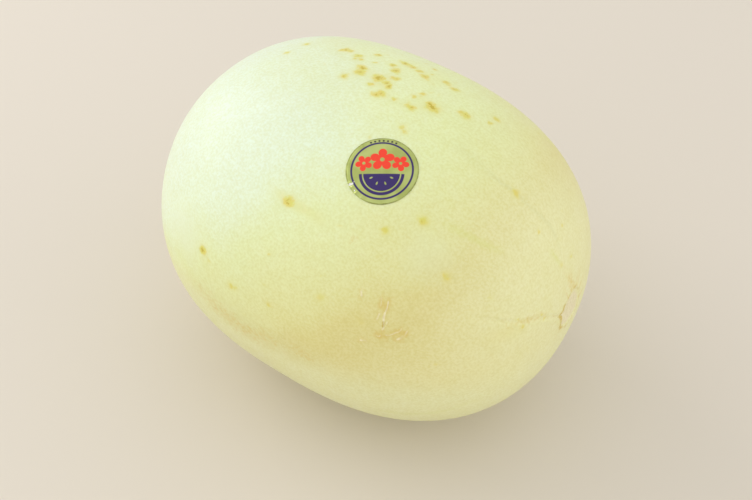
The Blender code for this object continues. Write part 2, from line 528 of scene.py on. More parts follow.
@dataclass(frozen=True)
class Studio:
    """The camera at the photograph's angle, the soft light and the pale floor."""

    azimuth: float = 35.6
    elevation: float = 47.0
    distance: float = 0.514
    aim_height: float = 0.0632
    aim_right: float = 0.0006
    aim_up: float = -0.0086
    lens: float = 66.5
    sensor: float = 36.0
    floor_width: float = 8.0
    floor_drop: float = 0.0002
    floor_colour: Colour = srgb(222, 213, 199)
    floor_roughness: float = 0.85
    sky_colour: Colour = srgb(255, 255, 255)
    sky_strength: float = 0.846
    boxes: tuple[SoftBox, ...] = (
        SoftBox("window", -0.90, 0.75, 0.05, 4.5),
        SoftBox("window_side", -1.00, 0.0, 0.35, 1.2),
        SoftBox("far_wall", 1.00, 0.0, 0.35, 2.0),
        SoftBox("bounce", 0.35, -0.85, 0.50, 3.0),
    )

    def axes(self) -> tuple[Vector, Vector, Vector]:
        """Give the picture's right, its up, and the way back to the camera.

        Returns:
            The three unit vectors.
        """
        turn, tilt = math.radians(self.azimuth), math.radians(self.elevation)
        right = Vector((math.cos(turn), math.sin(turn), 0.0))
        back = Vector(
            (math.sin(turn) * math.cos(tilt), -math.cos(turn) * math.cos(tilt), math.sin(tilt))
        )
        return right, back.cross(right), back

    def build(self) -> None:
        """Set up the camera, the lights, the sky and the floor."""
        self.place_camera()
        for box in self.boxes:
            self.place_light(box)
        self.light_sky()
        self.lay_floor()
        bpy.context.scene.view_settings.view_transform = "Standard"
        LOG.info("studio: camera, %d soft boxes, sky and floor", len(self.boxes))

    def stand(self, data: bpy.types.ID, way: Vector, turned: Matrix) -> bpy.types.Object:
        """Put a camera or a light into the room.

        Args:
            data: the camera's or the light's own data.
            way: the way to it from the melon's middle.
            turned: how it is turned.

        Returns:
            The new object.
        """
        thing = bpy.data.objects.new(data.name, data)
        bpy.context.scene.collection.objects.link(thing)
        middle = Vector((0.0, 0.0, self.aim_height))
        thing.matrix_world = Matrix.Translation(middle + way) @ turned.to_4x4()
        return thing

    def place_camera(self) -> None:
        """Stand the camera where the photograph was taken from."""
        right, up, back = self.axes()
        data = bpy.data.cameras.new("camera")
        data.lens, data.sensor_width = self.lens, self.sensor
        way = back * self.distance + right * self.aim_right + up * self.aim_up
        turned = Matrix((right, up, back)).transposed()
        bpy.context.scene.camera = self.stand(data, way, turned)

    def place_light(self, box: SoftBox) -> None:
        """Hang one soft box, turned to the melon.

        Args:
            box: the soft box.
        """
        right, up, back = self.axes()
        data = bpy.data.lights.new(box.name, "AREA")
        data.size, data.energy, data.color = box.width, box.power, box.colour
        way = right * box.right + up * box.up + back * box.near
        self.stand(data, way, way.to_track_quat("Z", "Y").to_matrix())

    def light_sky(self) -> None:
        """Fill the room with even pale light."""
        world = bpy.data.worlds.new("room")
        world.use_nodes = True
        sky = world.node_tree.nodes["Background"]
        sky.inputs["Color"].default_value = self.sky_colour
        sky.inputs["Strength"].default_value = self.sky_strength
        bpy.context.scene.world = world

    def lay_floor(self) -> None:
        """Lay a wide pale floor just under the melon."""
        bpy.ops.object.select_all(action="DESELECT")
        height = CAD_BOX[0][2] - self.floor_drop
        bpy.ops.mesh.primitive_plane_add(size=self.floor_width, location=(0.0, 0.0, height))
        floor = name_new("floor")
        material, _ = new_material(
            "floor_paper", {"Base Color": self.floor_colour, "Roughness": self.floor_roughness}
        )
        floor.data.materials.append(material)


@dataclass(frozen=True)
class Form:
    """The smooth body under every marking: a turned shape with a full, blunt outline."""

    half_length: float = 0.080
    radius: float = 0.06375
    stem_fullness: float = 2.49
    blossom_fullness: float = 2.39
    rest_spot_width: float = 0.020
    lobes: int = 5
    lobe_height: float = 0.00025

    @property
    def axis_height(self) -> float:
        """Height of the long axis, where the underside is cut off at the rest spot's width."""
        low = self.radius + self.lobe_height
        return math.sqrt(low**2 - (self.rest_spot_width / 2) ** 2)

    def fullness(self, x: np.ndarray) -> np.ndarray:
        """Give the outline's exponent, which differs between the two ends."""
        return np.where(x > 0, self.blossom_fullness, self.stem_fullness)

    def settle(self, points: np.ndarray) -> np.ndarray:
        """Move points onto the body, along rays from its middle.

        Args:
            points: one row for each point, near the body.

        Returns:
            The points on the body.
        """
        middle = np.array((0.0, 0.0, self.axis_height))
        rays = points - middle
        power = self.fullness(rays[:, 0])
        along = (np.abs(rays[:, 0]) / self.half_length) ** power
        across = (np.hypot(rays[:, 1], rays[:, 2]) / self.radius) ** power
        return middle + rays / ((along + across) ** (1 / power))[:, None]

    def normals(self, points: np.ndarray) -> np.ndarray:
        """Give the outward unit normals at points on the body.

        Args:
            points: one row for each point on the smooth body.

        Returns:
            One unit normal for each point.
        """
        x, up = points[:, 0], points[:, 2] - self.axis_height
        distance = np.maximum(np.hypot(points[:, 1], up), 1e-9)
        power = self.fullness(x)
        along = np.sign(x) * (np.abs(x) / self.half_length) ** (power - 1) / self.half_length
        across = (distance / self.radius) ** (power - 1) / self.radius
        normals = np.stack(
            (along, across * points[:, 1] / distance, across * up / distance), axis=1
        )
        return normals / np.linalg.norm(normals, axis=1)[:, None]

    def at(self, x: np.ndarray, bearing: np.ndarray) -> np.ndarray:
        """Give the points on the body at places along it and bearings round it.

        Args:
            x: places along the long axis.
            bearing: bearings round it, in degrees.

        Returns:
            The points, one row each.
        """
        x, turn = np.asarray(x, float), np.radians(bearing)
        power = self.fullness(x)
        share = np.clip(1 - (np.abs(x) / self.half_length) ** power, 0, None)
        distance = self.radius * share ** (1 / power)
        height = self.axis_height + distance * np.cos(turn)
        return np.stack((x, -distance * np.sin(turn), height), axis=-1)

    def at_end(self, distance: np.ndarray, bearing: np.ndarray) -> np.ndarray:
        """Give the points of the blossom end at distances from the long axis."""
        share = 1 - (np.asarray(distance, float) / self.radius) ** self.blossom_fullness
        return self.at(self.half_length * share ** (1 / self.blossom_fullness), bearing)

    def lobe(self, points: np.ndarray) -> np.ndarray:
        """Give the faint lobes' height, one of them along the underside.

        Args:
            points: one row for each point on the smooth body.

        Returns:
            One height for each point.
        """
        up = points[:, 2] - self.axis_height
        turn = np.arctan2(-points[:, 1], up) - math.pi
        share = np.hypot(points[:, 1], up) / self.radius
        return self.lobe_height * np.cos(self.lobes * turn) * share**2


@dataclass(frozen=True)
class Spot:
    """A round mark: its place along the axis and its width in millimetres, bearing and strength."""

    place: float
    bearing: float
    width: float
    strength: float


@dataclass(frozen=True)
class Streak:
    """A soft line of colour: its route by metres along the axis and bearing, reach and strength."""

    route: Route
    reach: float
    strength: float


@dataclass(frozen=True)
class Crack:
    """One corky crack: its route, and how wide and how strong it is beside the others."""

    route: Route
    width: float
    strength: float


@dataclass(frozen=True)
class Zone:
    """A part of the rind with a tone of its own.

    Each fade names an axis, where it starts and where it ends, and then, where they aren't 0 and 1,
    the shares of the tone at its start and its end.
    """

    tone: Colour
    fades: tuple[tuple, ...]


@dataclass(frozen=True)
class RindFinish:
    """The waxy rind, with its russet spots, stains and corky scars."""

    grain: bpy.types.NodeTree
    flecks: bpy.types.NodeTree
    # The rind's colour changes along a slope, from the stem end's top to the blossom end's underside:
    # partly its own tone, partly painted light, a paler painted sheen on the stem end's top and warmer
    # painted bounce light low on the blossom end
    tone_and_light_slope: tuple[float, float, float] = (1.0, 0.0, -1.2)
    slope_start: float = -0.1758
    slope_length: float = 0.150
    drift: float = 0.035
    drift_size: float = 0.03
    tones: tuple[tuple[float, Colour], ...] = (
        (0.00, srgb(225, 236, 208)), (0.17, srgb(228, 239, 203)), (0.26, srgb(227, 236, 188)),
        (0.34, srgb(227, 234, 176)), (0.47, srgb(227, 229, 166)), (0.59, srgb(227, 225, 159)),
        (0.70, srgb(224, 216, 146)), (0.79, srgb(223, 214, 145)), (1.00, srgb(228, 222, 160)),
    )
    # The far top, the far side, the underside and the blossom end; along "end", Z counts a little too
    end_tilt: float = 0.3
    zones: tuple[Zone, ...] = (
        Zone(
            srgb(228, 234, 170),
            (("X", -0.010, 0.006, 0.42, 0.68), ("Z", 0.114, 0.127), ("Y", -0.030, 0.0)),
        ),
        Zone(
            srgb(228, 233, 158),
            (("Y", 0.008, 0.024, 0.0, 0.38), ("X", -0.050, -0.034), ("X", 0.018, 0.008)),
        ),
        Zone(srgb(229, 229, 176), (("Z", 0.070, 0.052, 0.0, 0.85),)),
        Zone(srgb(228, 226, 171), (("end", 0.077, 0.105, 0.0, 0.9),)),
    )
    # Fine mottling: the size of its patches and how far they differ
    patch_size: float = 0.005
    patch_depth: float = 0.015
    fine_size: float = 0.0009
    fine_depth: float = 0.05
    fray_size: float = 0.0014
    fray_depth: float = 0.2
    # The paler tone, which on the stem half's near side is also a painted sheen
    pale: Colour = srgb(230, 239, 204)
    vein: Colour = srgb(213, 215, 116)
    # The grey of the lines, which also paints shade low on the near side
    line: Colour = srgb(199, 200, 138)
    russet_edge: Colour = srgb(219, 213, 97)
    russet_warm: Colour = srgb(224, 208, 99)
    russet_core: Colour = srgb(194, 172, 40)
    # The tan of the stains, which also paints shade low on the near side
    stain: Colour = srgb(217, 191, 97)
    cork: Colour = srgb(246, 239, 198)
    cork_shade: Colour = srgb(204, 184, 128)
    scar: Colour = srgb(231, 223, 184)
    scar_shade: Colour = srgb(214, 202, 158)
    rim: Colour = srgb(199, 174, 74)
    wax_roughness: tuple[float, float] = (0.35, 0.47)
    cork_roughness: float = 0.85
    shine: float = 0.45
    glow: float = 0.12
    glow_reach: tuple[float, float, float] = (0.9, 1.0, 0.5)
    glow_scale: float = 0.002
    relief_height: float = 0.00006

    def dress(self, piece: bpy.types.Object) -> None:
        """Give the piece the rind's material.

        Args:
            piece: the melon's skin.
        """
        surface = Surface(
            "melon_rind", self.grain,
            {
                "Specular IOR Level": self.shine, "Subsurface Weight": self.glow,
                "Subsurface Radius": self.glow_reach, "Subsurface Scale": self.glow_scale,
            },
        )
        corky = surface.math("MAXIMUM", surface.mask(Mask.CORK), surface.mask(Mask.SCAR))
        colour = self.markings(surface, self.ground_and_painted_light(surface))
        low, high = self.wax_roughness
        wax = surface.noise(0.012, 3.0, low, high)
        surface.feed(surface.shader.inputs["Base Color"], colour)
        surface.feed(
            surface.shader.inputs["Roughness"], surface.spread(corky, 0.0, 0.6, wax, self.cork_roughness)
        )
        self.roughen(surface, corky)
        piece.data.materials.clear()
        piece.data.materials.append(surface.material)

    def ground_and_painted_light(self, surface: Surface) -> Socket:
        """Mix the rind's colour: pale green at the stem end's top, yellower away from it, partly its own
        tone and partly painted light: a painted sheen on top and painted warm bounce light below.

        Args:
            surface: the material's bench.

        Returns:
            The colour before any marking.
        """
        node = surface.add("ShaderNodeVectorMath", operation="DOT_PRODUCT")
        surface.feed(node.inputs[0], surface.place)
        surface.feed(node.inputs[1], self.tone_and_light_slope)
        walked = surface.math("SUBTRACT", node.outputs["Value"], self.slope_start)
        share = surface.math("DIVIDE", walked, self.slope_length)
        drift = surface.noise(self.drift_size, low=-self.drift, high=self.drift)
        # The ramp paints a sheen high on the stem end and warm bounce light low down, together with the
        # rind's own tone
        colour = surface.ramp(surface.math("ADD", share, drift), self.tones)
        split = surface.add("ShaderNodeSeparateXYZ")
        surface.feed(split.inputs[0], surface.place)
        axes = {axis: split.outputs[axis] for axis in "XYZ"}
        axes["end"] = surface.math("MULTIPLY_ADD", axes["Z"], self.end_tilt, axes["X"])
        for zone in self.zones:
            fades = [surface.spread(axes[axis], *limits) for axis, *limits in zone.fades]
            colour = surface.tint(surface.fold("MULTIPLY", fades), colour, zone.tone)
        patches, fine = (
            surface.noise(size, low=1 - depth, high=1 + depth)
            for size, depth in ((self.patch_size, self.patch_depth), (self.fine_size, self.fine_depth))
        )
        return surface.toned(colour, surface.times(patches, fine))

    def markings(self, surface: Surface, colour: Socket) -> Socket:
        """Lay the painted markings over the rind's colour, one after the other.

        Args:
            surface: the material's bench.
            colour: the rind's colour, partly painted light.

        Returns:
            The finished colour.
        """
        frayed = surface.noise(self.fray_size, 3.0, -self.fray_depth, self.fray_depth)

        def ragged(mask: Mask, fray: float, low: float, high: float, most: float) -> Socket:
            """Read a marking with a frayed edge, as the share that it covers."""
            value = surface.math("MULTIPLY_ADD", frayed, fray, surface.mask(mask))
            return surface.spread(value, low, high, 0.0, most)

        # The pale mask is partly a painted sheen on the stem half's near side
        for mask, tone in ((Mask.PALE_AND_SHEEN, self.pale), (Mask.VEIN, self.vein), (Mask.LINE, self.line)):
            # The line mask is partly painted shade low on the near side
            colour = surface.tint(surface.mask(mask), colour, tone)
        # The stain mask also lays painted shade low on the near side
        colour = surface.tint(ragged(Mask.STAIN_AND_SHADE, 0.8, 0.1, 1.0, 0.7), colour, self.stain)
        colour = self.russet(surface, colour)
        # The rim mask also lays painted shade in the opened slit
        colour = surface.tint(ragged(Mask.RIM_AND_SHADE, 1.0, 0.1, 0.9, 0.95), colour, self.rim)
        aged = surface.noise(0.0011, 4.0)
        scar = surface.tint(surface.times(aged, 0.6), self.scar, self.scar_shade)
        colour = surface.tint(surface.mask(Mask.SCAR), colour, scar)
        cork = surface.tint(surface.times(aged, 0.5), self.cork, self.cork_shade)
        return surface.tint(ragged(Mask.CORK, 0.5, 0.15, 0.8, 0.9), colour, cork)

    def russet(self, surface: Surface, colour: Socket) -> Socket:
        """Lay the russet spots on: mottled, yellow at their edges and olive brown in their cores.

        Args:
            surface: the material's bench.
            colour: the colour below.

        Returns:
            The colour with the spots.
        """
        mottled = surface.noise(self.fine_size, low=0.72, high=1.25)
        share = surface.times(surface.mask(Mask.RUSSET), mottled)
        edge = surface.tint(surface.noise(0.003, 1.0), self.russet_edge, self.russet_warm)
        colour = surface.tint(surface.spread(share, 0.0, 0.62, 0.0, 0.88), colour, edge)
        colour = surface.tint(surface.spread(share, 0.72, 1.3, 0.0, 0.85), colour, self.russet_core)
        specks = surface.group(
            self.flecks, place=surface.place, size=0.0075, share=0.3, softness=0.12
        )
        return surface.tint(surface.times(specks, 0.3), colour, self.russet_edge)

    def roughen(self, surface: Surface, corky: Socket) -> None:
        """Add the pores and low swells of the rind and the grit of the cork.

        Args:
            surface: the material's bench.
            corky: where the surface is cork.
        """
        pores = surface.noise(0.0011, high=0.5)
        swells = surface.noise(0.006)
        grit = surface.times(surface.noise(0.0005, 4.0, high=2.4), corky)
        surface.bend(surface.fold("ADD", [pores, grit, swells]), 0.5, self.relief_height)


@dataclass(frozen=True)
class Melon:
    """The fruit's own surface: a fine skin with lobes, scars, creases and corky cracks."""

    form: Form
    finish: RindFinish
    # Blossom end: a corky disc a little off the axis
    scar_radius: float = 0.0066
    scar_aside: float = 0.0062
    scar_up: float = 0.0024
    scar_stretch: float = 1.12
    scar_depth: float = 0.00022
    rim_height: float = 0.00022
    rim_width: float = 0.0015
    # Where its outline stands out or in: bearing on the disc, half width in degrees, how far
    scar_waves: tuple[tuple[float, float, float], ...] = (
        (161, 8, 0.0014), (135, 28, -0.0004), (-176, 24, -0.0006), (-148, 16, 0.0004),
        (-88, 22, -0.0004), (-42, 28, 0.0008), (0, 30, -0.0002), (68, 24, 0.0008),
    )
    # The side of it that is turned to the camera has a crisper edge and a stronger rim
    near_bearing: float = 172.0
    edge_width: float = 0.0007
    edge_blur: float = 0.0013
    edge_wander: float = 0.0003
    rim_place: float = 0.0005
    rim_reach: float = 0.0014
    near_rim_reach: float = 0.0007
    # Stem end: a hollow with the ring and the pit that the stalk left
    hollow_depth: float = 0.0024
    hollow_radius: float = 0.017
    stalk_radius: float = 0.0065
    stalk_height: float = 0.0011
    stalk_rim: float = 0.0018
    pit_depth: float = 0.0012
    pit_radius: float = 0.0025
    stalk_line: float = 0.0012
    stalk_tint: float = 0.7
    # A crease from the blossom scar into the side: distance from the long axis, bearing
    crease: Route = (
        (0.0063, 19), (0.0122, 37), (0.0195, 44), (0.0285, 50), (0.0360, 52), (0.0445, 53), (0.0502, 52),
    )
    crease_width: float = 0.0016
    crease_depth: float = 0.00028
    crease_reach: float = 0.0012
    crease_tint: float = 0.28
    # Where the rind is a little paler: for these and the stains, the width is the reach; the first two, on
    # the stem half's near side, are partly paler rind and partly a painted sheen
    blooms_and_sheen: tuple[Spot, ...] = (
        Spot(-42, 72, 15, 0.55), Spot(-48, 66, 10, 0.2), Spot(47, 39.5, 13, 0.22), Spot(20, 128, 24, 0.2),
        Spot(-30, -95, 26, 0.3),
    )
    # Green veins and fainter grey lines, which follow the fruit's length; the wide grey one low on the
    # near side is painted shade
    veins: tuple[Streak, ...] = (
        Streak(((0.0458, 26.7), (0.0502, 26.2), (0.0545, 25.5), (0.0588, 24.7), (0.0632, 23)),
               0.0017, 0.42),
        Streak(((0.0724, 1.5), (0.0742, -0.5), (0.0758, -3)), 0.0015, 0.4),
        Streak(((0.040, 112), (0.056, 113), (0.068, 110)), 0.0017, 0.3),
        Streak(((-0.070, 150), (-0.045, 146), (-0.015, 148), (0.020, 146)), 0.0018, 0.35),
    )
    lines_and_shade: tuple[Streak, ...] = (
        Streak(((0.0318, 0.5), (0.0355, 1.2), (0.0405, 1.5), (0.0464, 2.1)), 0.0042, 0.12),
        Streak(((0.044, 2), (0.0513, 1.1), (0.0569, -0.5), (0.0616, -1.4)), 0.0013, 0.24),
        Streak(((0.058, -0.7), (0.0616, -1.4), (0.0672, -5.1), (0.0705, -6.7), (0.0744, -7)), 0.0012, 0.2),
        # Painted shade: a wide grey line low along the near side
        Streak(((-0.034, 87), (-0.024, 90), (-0.010, 91.5), (0.004, 90), (0.018, 89)), 0.0110, 0.16),
        Streak(((-0.066, -60), (-0.050, -57), (-0.030, -58), (-0.008, -60)), 0.0018, 0.25),
        Streak(((0.020, -75), (0.045, -72), (0.062, -70), (0.073, -64)), 0.0016, 0.3),
        Streak(((-0.010, -135), (0.025, -132), (0.055, -130)), 0.0018, 0.3),
    )
    # Tan flushes: along the crease, below it, low on the near side and on the hidden sides; the two low on
    # the near side are partly tan and partly painted shade
    flushes_and_shade: tuple[Streak, ...] = (
        Streak(((0.0788, 33), (0.0781, 40), (0.0763, 47), (0.0736, 51)), 0.0030, 0.48),
        Streak(((0.0763, 49), (0.0740, 52.5), (0.0712, 55)), 0.0040, 0.3),
        Streak(((0.0763, -8), (0.0776, -9), (0.0786, -18)), 0.0026, 0.34),
        Streak(((0.0774, -12), (0.0783, -17), (0.0790, -26), (0.0792, -50)), 0.0036, 0.62),
        # These two are partly a tan flush and partly painted shade, low along the near side
        Streak(((-0.037, 88.5), (-0.030, 91), (-0.020, 93), (-0.009, 94), (0.001, 91.5), (0.010, 90)),
               0.0092, 0.5),
        Streak(((0.009, 89), (0.015, 89.5), (0.021, 91.5)), 0.0050, 0.46),
        Streak(((0.014, -96), (0.034, -99)), 0.0080, 0.35),
        Streak(((-0.020, 178), (0.016, 174)), 0.0200, 0.5),
    )
    # Corky cracks: place along the axis, bearing
    cracks: tuple[Crack, ...] = (
        Crack(((0.0406, 56.9), (0.0410, 59.5), (0.0409, 61.8), (0.0410, 63.2)), 0.80, 0.62),
        Crack(((0.0409, 61.3), (0.0409, 63.0), (0.0411, 64.2), (0.0413, 64.9)), 1.15, 0.95),
        Crack(((0.0413, 64.7), (0.0415, 66.2), (0.0418, 67.0), (0.0414, 68.2)), 0.85, 0.7),
        Crack(((0.0382, 56.8), (0.0387, 58.3), (0.0390, 60.3)), 0.85, 0.5),
        Crack(((0.0394, 62.3), (0.0392, 63.6), (0.0390, 65.0)), 1.0, 0.55),
        Crack(((0.0423, 64.2), (0.0422, 65.7)), 0.9, 0.6),
        Crack(((0.0472, 64.7), (0.0467, 66.5), (0.0456, 67.5), (0.0449, 67.9)), 0.9, 0.5),
        Crack(((0.0459, 67.2), (0.0450, 68.2), (0.0438, 69.2), (0.0426, 69.4)), 0.95, 0.6),
        Crack(((0.0491, 64.8), (0.0486, 66.8), (0.0481, 68.5), (0.0474, 69.9)), 1.15, 0.45),
        Crack(((0.0483, 67.6), (0.0474, 69.0), (0.0463, 70.1)), 1.5, 0.55),
        Crack(((0.0316, 57.5), (0.0323, 59.3)), 0.95, 1.25),
        Crack(((0.0352, 74.5), (0.0364, 74.1), (0.0377, 73.6)), 1.1, 0.7),
        Crack(((0.0400, 70.3), (0.0408, 70.8), (0.0415, 69.9)), 0.9, 0.5),
    )
    crack_width: float = 0.0006
    crack_height: float = 0.00020
    # The main crack has opened a little at its lower end, and the opening is painted dark brown as painted
    # shade
    shaded_slit: Route = ((0.0413, 65.2), (0.0415, 66.6))
    slit_width: float = 0.00062
    # Tan stain beside the cracks, and the places where it is deeper
    stain_reach: float = 0.0024
    stain_strength: float = 0.3
    patches: tuple[Spot, ...] = (
        Spot(39.9, 58.6, 3.6, 0.42), Spot(40.8, 60.8, 3.2, 0.25), Spot(40.8, 69.8, 3.4, 0.38),
        Spot(46.8, 68.2, 3.8, 0.42), Spot(48.6, 66.4, 3.0, 0.3), Spot(43.4, 70.4, 3.6, 0.3),
        Spot(36.4, 73.6, 2.6, 0.2), Spot(32.2, 60.4, 2.2, 0.2), Spot(22.7, 44.6, 3.2, 0.42),
        Spot(2.2, 89.3, 3.2, 0.3), Spot(15, 89, 3.4, 0.25), Spot(77.5, -9, 3.0, 0.2),
    )
    streak_reach: float = 0.011
    # Russet spots, the clear ones listed one by one: many are two or three that have run together
    spots: tuple[Spot, ...] = (
        Spot(-26, -16, 2.6, 0.75), Spot(-25, -17, 2.8, 0.85), Spot(-23.5, -17, 2.4, 0.6),
        Spot(-19, -15.5, 2.8, 0.75), Spot(-18.5, -13, 2.0, 0.45), Spot(-16.5, -14, 2.2, 0.65),
        Spot(-14.5, -21, 2.6, 0.9), Spot(-11.5, -15, 2.0, 0.45), Spot(-12.5, -9.5, 3.6, 1.0),
        Spot(-11.5, -7, 3.4, 0.95), Spot(-14.5, -2.5, 3.2, 0.85), Spot(-4.5, -8, 3.5, 1.3),
        Spot(-3.5, -8.5, 2.6, 0.7), Spot(-1, -7.5, 2.6, 0.85), Spot(1, -6.5, 2.4, 0.85),
        Spot(-4.5, -4, 2.4, 0.65), Spot(0, -1, 2.8, 0.9), Spot(1, -2, 2.6, 0.85),
        Spot(2, -2, 2.2, 0.6), Spot(6.5, -2.5, 2.2, 0.55), Spot(-6, -18, 2.4, 0.85),
        Spot(-3, -15.5, 3.2, 1.05), Spot(0, -11.5, 2.8, 0.85), Spot(-6.5, -23, 2.2, 0.3),
        Spot(-4.5, -23, 2.8, 0.95), Spot(-2.5, -23, 2.0, 0.6), Spot(-1, -22.5, 2.6, 0.85),
        Spot(2.5, -22, 2.4, 0.7), Spot(6, -20, 3.0, 0.95), Spot(6.5, -23.5, 1.8, 0.45),
        Spot(4, -29, 2.2, 0.65), Spot(-1, -31.5, 1.6, 0.3), Spot(12.5, -23, 2.8, 0.85),
        Spot(14.5, -22, 1.8, 0.45), Spot(17.5, -21.5, 2.8, 0.8), Spot(12.5, -2.5, 2.6, 0.7),
        Spot(13.5, -2.5, 2.8, 0.8), Spot(17.5, -7.5, 3.2, 1.25), Spot(19, -7, 3.0, 1.25),
        Spot(20.5, -6.5, 2.0, 0.7), Spot(26.5, -12.5, 2.0, 0.62), Spot(28, -12.5, 2.6, 0.8),
        Spot(29, -12.5, 2.4, 0.85), Spot(10.5, -7.5, 2.2, 0.52), Spot(12, -10.5, 2.4, 0.65),
        Spot(35.5, -17, 2.0, 0.65), Spot(35.5, -21.5, 2.6, 0.85), Spot(16, 6, 3.0, 0.42),
        Spot(18, 7, 3.0, 0.42), Spot(9.5, 14.5, 2.0, 0.3), Spot(-43, -7, 2.4, 0.65),
        Spot(-41, -15.5, 2.8, 0.85), Spot(45, -38.5, 2.0, 0.35), Spot(-3.5, 43, 3.2, 0.8),
        Spot(31, 37.5, 2.8, 0.75), Spot(17, 42.5, 1.6, 0.25), Spot(32.5, 46, 1.8, 0.2),
        Spot(-3.5, 60, 1.8, 0.4), Spot(-10.5, 66, 1.4, 0.2), Spot(-2.5, 70.5, 2.4, 0.2),
        Spot(78, 39.6, 1.6, 0.45), Spot(78.7, 42.5, 1.6, 0.5), Spot(75.7, 54.3, 1.6, 0.4),
        Spot(74.2, 48.3, 1.5, 0.3), Spot(40, 29.5, 3.2, 0.9), Spot(53.5, 42, 3.2, 0.48),
        Spot(57, -0.5, 3.2, 0.68), Spot(68, 2, 2.0, 0.38), Spot(70.5, -16, 2.0, 0.4),
        Spot(76, -19.5, 2.6, 0.35), Spot(76, -4.5, 2.6, 0.32), Spot(66.5, 42.5, 2.4, 0.18),
        Spot(59, 77.5, 2.0, 0.28), Spot(-31.5, 72.5, 3.0, 1.25), Spot(-28, 75, 2.0, 0.3),
        Spot(-16.3, 78.3, 3.0, 0.5), Spot(-14.3, 78, 2.6, 0.4), Spot(0.5, 76.5, 2.4, 0.5),
        Spot(19, 65.5, 4.0, 0.3), Spot(34.5, 67.5, 3.6, 0.2),
    )
    # Yellow hazes between the spots
    hazes: tuple[Streak, ...] = (
        Streak(((-0.0130, 41), (-0.0034, 42.9), (0.0062, 43.1), (0.0140, 44)), 0.0034, 0.2),
        Streak(((0.0762, 53), (0.0742, 57), (0.0712, 61), (0.0680, 62.5)), 0.0056, 0.16),
    )
    spot_spread: float = 0.92
    core_spread: float = 0.46
    halo_spread: float = 2.1
    halo_strength: float = 0.115
    halo_limit: float = 1.8
    # How the spots' edges are warped: how far, the length of a swell, and a seed for each axis
    warps: tuple[tuple[float, float, tuple[float, float, float]], ...] = (
        (0.0008, 0.0024, (1.0, 8.0, 12.0)), (0.00035, 0.0008, (2.0, 6.0, 14.0)),
    )
    strewn: int = 20
    strewn_seed: int = 11
    strewn_middle: tuple[float, float] = (2.0, -12.0)
    strewn_spread: tuple[float, float] = (17.0, 8.0)
    # The mesh: how often the faces are cut smaller within each distance of a line, a spot or a scar
    ball_cuts: int = 7
    line_cuts: tuple[tuple[float, int], ...] = ((0.006, 1), (0.003, 2), (0.0012, 3))
    spot_cuts: tuple[tuple[float, int], ...] = ((0.003, 1), (0.0008, 2))
    scar_cuts: int = 2
    rim_factor: float = 1.5
    stalk_margin: float = 0.003
    # How uneven the surface, and the edges of its small forms, are
    uneven_height: float = 0.00022
    uneven_length: float = 0.045
    wander_height: float = 0.0003
    wander_length: float = 0.0022
    grit_height: float = 0.00005
    grit_length: float = 0.0011

    def build(self) -> bpy.types.Object:
        """Model the melon's skin, dress it and hang it on the frame.

        Returns:
            The finished piece.
        """
        skin = self.rough_out()
        for level in (1, 2, 3):
            self.refine(skin, level)
        base = read_points(skin)
        self.paint(skin, base)
        points = base + self.form.normals(base) * self.relief(base)[:, None]
        points[:, 2] = np.maximum(points[:, 2], 0.0)
        write_points(skin, points)
        take_up(skin)
        bpy.ops.object.shade_smooth()
        self.finish.dress(skin)
        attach(skin, "root")
        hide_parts("melon")
        LOG.info("muskmelon_skin: %d faces", len(skin.data.polygons))
        return skin

    def rough_out(self) -> bpy.types.Object:
        """Start from a ball of even triangles and swell it to the body's form.

        Returns:
            The skin, before its markings.
        """
        bpy.ops.object.select_all(action="DESELECT")
        bpy.ops.mesh.primitive_ico_sphere_add(
            subdivisions=self.ball_cuts, radius=self.form.radius,
            location=(0.0, 0.0, self.form.axis_height),
        )
        skin = name_new("muskmelon_skin")
        bpy.ops.object.transform_apply(location=True, rotation=True, scale=True)
        write_points(skin, self.form.settle(read_points(skin)))
        return skin

    def refine(self, skin: bpy.types.Object, level: int) -> None:
        """Cut the faces near fine markings smaller, once for each level.

        Args:
            skin: the melon's skin.
            level: 1 for the wide surroundings, up to 3 for the markings themselves.
        """
        centres = np.empty(3 * len(skin.data.polygons))
        skin.data.polygons.foreach_get("center", centres)
        wanted = self.fineness(centres.reshape(-1, 3)) >= level
        take_up(skin)
        bpy.context.tool_settings.mesh_select_mode = (False, False, True)
        for parts in (skin.data.vertices, skin.data.edges):
            parts.foreach_set("select", np.zeros(len(parts), bool))
        skin.data.polygons.foreach_set("select", wanted)
        bpy.ops.object.mode_set(mode="EDIT")
        bpy.ops.mesh.subdivide(number_cuts=1, smoothness=0.0, ngon=False)
        bpy.ops.object.mode_set(mode="OBJECT")
        write_points(skin, self.form.settle(read_points(skin)))

    def fineness(self, points: np.ndarray) -> np.ndarray:
        """Say how many times the faces round each point are cut smaller.

        Args:
            points: one row for each point on the smooth body.

        Returns:
            One whole number for each point, from 0 to 3.
        """
        level = np.zeros(len(points), int)
        to_line = np.full(len(points), np.inf)
        for route in self.crack_lines() + [self.crease_line()]:
            to_line = np.minimum(to_line, off_route(points, route)[0])
        to_rim = np.abs(self.from_rim(points))
        to_spot = np.full(len(points), np.inf)
        for spot in self.all_spots():
            to_spot = np.minimum(to_spot, self.from_spot(points, spot) - spot.width / 2000)
        to_stalk = np.where(points[:, 0] < 0, self.from_axis(points) - self.stalk_radius, np.inf)
        for reach, depth in self.line_cuts:
            level[(to_line < reach) | (to_rim < self.rim_factor * reach)] = depth
        for reach, depth in self.spot_cuts:
            level[to_spot < reach] = np.maximum(level[to_spot < reach], depth)
        scarred = (self.from_rim(points) < 0) | (to_stalk < self.stalk_margin)
        level[scarred] = np.maximum(level[scarred], self.scar_cuts)
        return level

    def from_axis(self, points: np.ndarray) -> np.ndarray:
        """Give each point's distance from the long axis."""
        return np.hypot(points[:, 1], points[:, 2] - self.form.axis_height)

